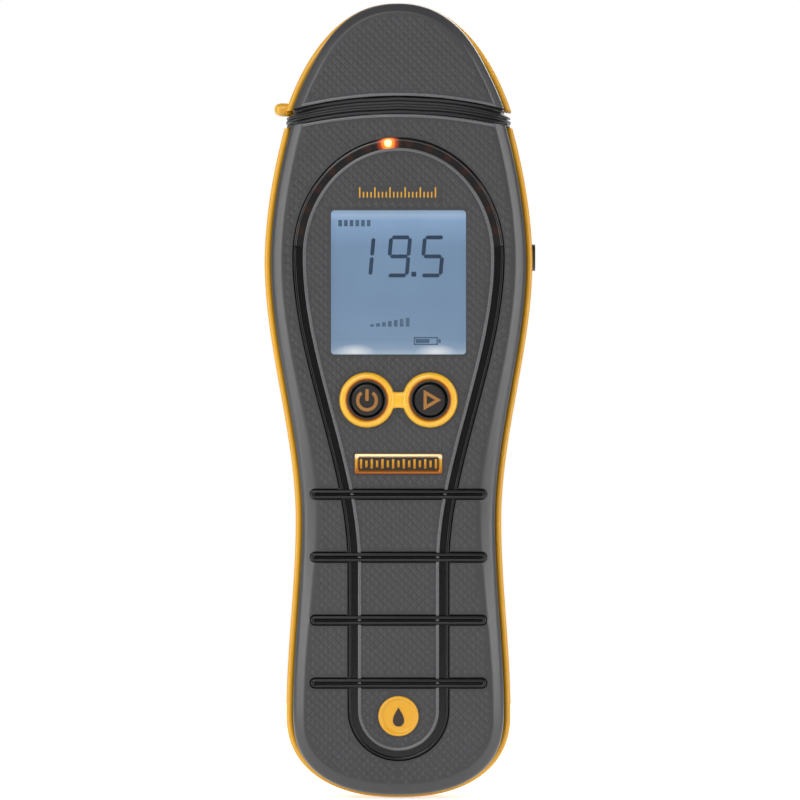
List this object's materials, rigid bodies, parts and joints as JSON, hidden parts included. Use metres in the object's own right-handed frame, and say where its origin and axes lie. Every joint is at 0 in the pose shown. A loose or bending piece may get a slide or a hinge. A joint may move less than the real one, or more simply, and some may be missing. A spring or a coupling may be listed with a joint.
{
  "type": "moisture meter",
  "caption": "Handheld pin-type moisture meter with a display, two keys, a pull-off pin cover, a sliding battery door and a socket for an outside probe.",
  "frame": {"origin": "under the middle of the foot, half way between the front trim and the back", "axes": "+Z from the foot to the pins, -Y out of the front face, +X the right side seen from the front"},
  "size_m": [0.0597, 0.03, 0.175],
  "materials": {
    "charcoal_abs": "fine moulded texture",
    "amber_abs": "satin moulded",
    "gloss_black": "polished",
    "dark_nylon": "moulded",
    "bronze_plate": "satin",
    "button_plastic": "satin",
    "clear_lens": "polished",
    "smoked_lens": "polished",
    "lcd": "satin",
    "light_guide": "satin",
    "elastomer": "striped",
    "board_green": "solder resist",
    "lamp_off": "tinted",
    "lamp_on": "lit",
    "plunger_white": "moulded",
    "chip_black": "moulded",
    "steel": "bright",
    "nickel": "knurled",
    "brass": "turned",
    "cell_sleeve": "printed sleeve"
  },
  "bodies": {
    "case": {"front_case": "charcoal_abs", "rear_case": "amber_abs", "case_screws": "steel", "neck_collar": "dark_nylon", "nose_block": "dark_nylon", "channel_trim": "gloss_black", "grip_rung_1": "gloss_black", "grip_rung_2": "gloss_black", "grip_rung_3": "gloss_black", "grip_rung_4": "gloss_black", "name_plate": "bronze_plate", "round_badge": "amber_abs", "button_bezel": "amber_abs", "display_window": "clear_lens", "lcd_glass": "lcd", "lcd_backlight": "light_guide", "lcd_connector": "elastomer", "led_window": "smoked_lens", "led_board": "board_green", "status_leds": "lamp_off", "lit_led": "lamp_on", "switch_housings": "chip_black", "main_pcb": "board_green", "circuit_chips": "chip_black", "beeper": "chip_black", "board_header": "chip_black", "pcb_screws": "steel", "probe_socket": "dark_nylon", "socket_nut": "nickel", "battery_cell_left": "cell_sleeve", "battery_cell_right": "cell_sleeve", "battery_springs": "nickel", "battery_contacts": "nickel", "pin_left": "steel", "pin_right": "steel", "collet_nuts": "nickel", "pin_studs": "brass", "pin_terminals": "brass"},
    "cap": {"cap_front": "charcoal_abs", "cap_rear": "amber_abs"},
    "door": {"battery_door": "charcoal_abs"},
    "power_key": {"power_button": "button_plastic", "power_plunger": "plunger_white"},
    "select_key": {"select_button": "button_plastic", "select_plunger": "plunger_white"}
  },
  "joints": [
    {"name": "cap_pull", "type": "slide", "parent": "case", "child": "cap", "axis": [0, 0, 1], "range_m": [0, 0.03]},
    {"name": "door_slide", "type": "slide", "parent": "case", "child": "door", "axis": [0, 0, -1], "range_m": [0, 0.06]},
    {"name": "power_press", "type": "slide", "parent": "case", "child": "power_key", "axis": [0, 1, 0], "range_m": [0, 0.0008], "stiffness_N_per_m": 1200, "springref_m": -0.0003},
    {"name": "select_press", "type": "slide", "parent": "case", "child": "select_key", "axis": [0, 1, 0], "range_m": [0, 0.0008], "stiffness_N_per_m": 1200, "springref_m": -0.0003}
  ]
}
